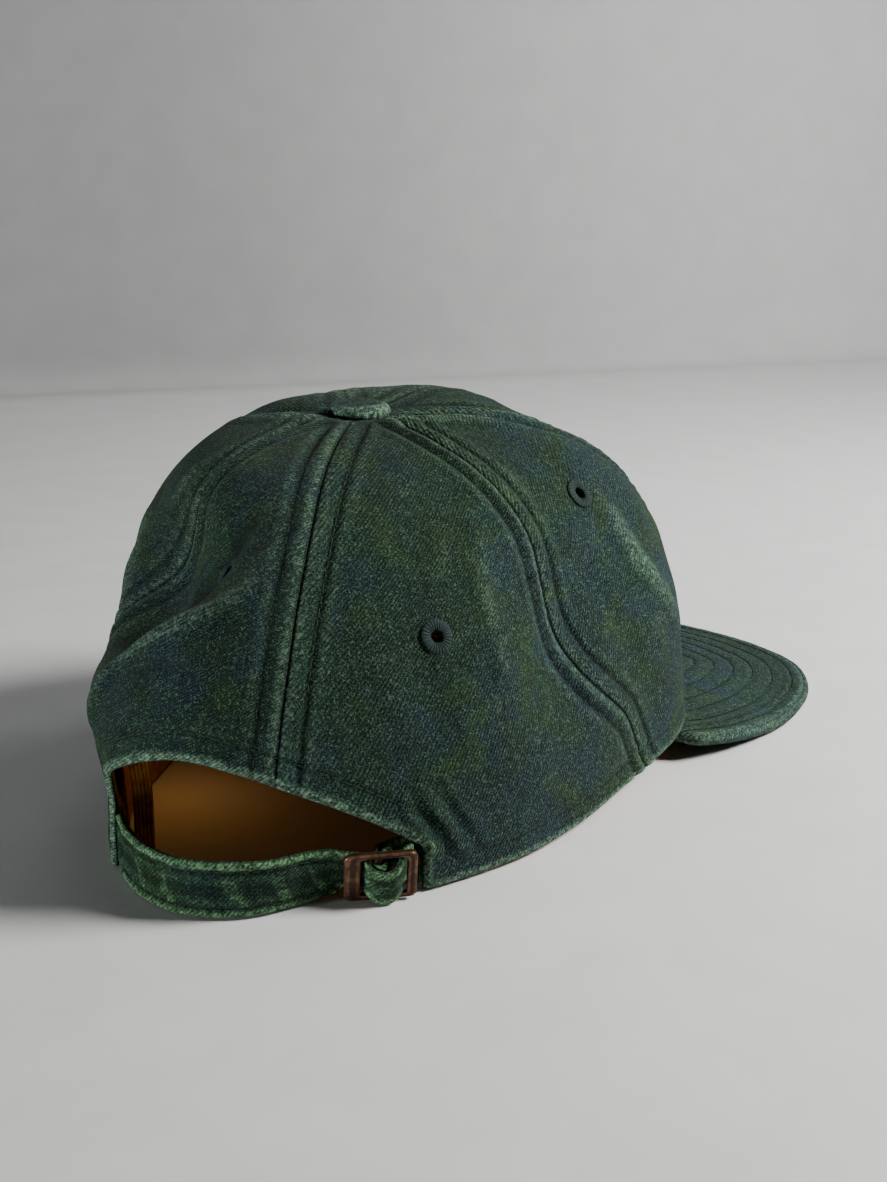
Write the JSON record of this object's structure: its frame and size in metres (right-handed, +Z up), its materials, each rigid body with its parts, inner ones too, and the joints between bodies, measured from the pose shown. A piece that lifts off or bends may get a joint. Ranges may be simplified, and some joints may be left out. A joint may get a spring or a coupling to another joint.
{
  "type": "baseball cap",
  "caption": "Unstructured low crown cap with stitched panels, a curved brim, a covered top button and a back opening closed by a strap and slide buckle.",
  "frame": {"origin": "middle of the head opening, on the table plane the cap rests on", "axes": "brim points to -Y, wearer's right is -X, crown up is +Z"},
  "size_m": [0.1546, 0.2562, 0.1081],
  "materials": {
    "twill": "washed dark green cotton twill, mottled and paler along seams and folded edges",
    "thread": "dark green satin stitched thread",
    "tape": "ribbed mustard cotton tape",
    "sweatband_twill": "mustard cotton twill",
    "stiffener": "flexible moulded sheet, hidden in the brim",
    "button_metal": "pressed steel",
    "antique_brass": "antique bronze plating with bright worn edges"
  },
  "bodies": {
    "cap": {"panel_back_right": "twill", "eyelet_back_right": "thread", "panel_side_right": "twill", "eyelet_side_right": "thread", "panel_front_right": "twill", "eyelet_front_right": "thread", "panel_front_left": "twill", "eyelet_front_left": "thread", "panel_side_left": "twill", "eyelet_side_left": "thread", "panel_back_left": "twill", "eyelet_back_left": "thread", "seam_tape_back": "tape", "seam_tape_back_right": "tape", "seam_tape_front_right": "tape", "seam_tape_front": "tape", "seam_tape_front_left": "tape", "seam_tape_back_left": "tape", "opening_binding": "tape", "sweatband": "sweatband_twill", "band_end_left": "tape", "band_end_right": "tape", "button_cover": "twill", "button_shell": "button_metal", "button_washer": "button_metal", "visor_top": "twill", "visor_under": "twill", "visor_board": "stiffener", "buckle_tab": "twill", "strap": "twill", "strap_in_buckle": "twill"},
    "buckle": {"buckle": "antique_brass"},
    "tail": {"strap_tail": "twill"}
  },
  "joints": [
    {"name": "buckle_tilt", "type": "hinge", "parent": "cap", "child": "buckle", "pos_m": [-0.0507, 0.0631, 0.0074], "axis": [-0.1869, 0.1791, 0.9659], "range_deg": [-6, 6]},
    {"name": "strap_tail_pull", "type": "hinge", "parent": "cap", "child": "tail", "pos_m": [0.06377, -0.0021, 0], "axis": [0, 0, 1], "range_deg": [0, 8]}
  ]
}
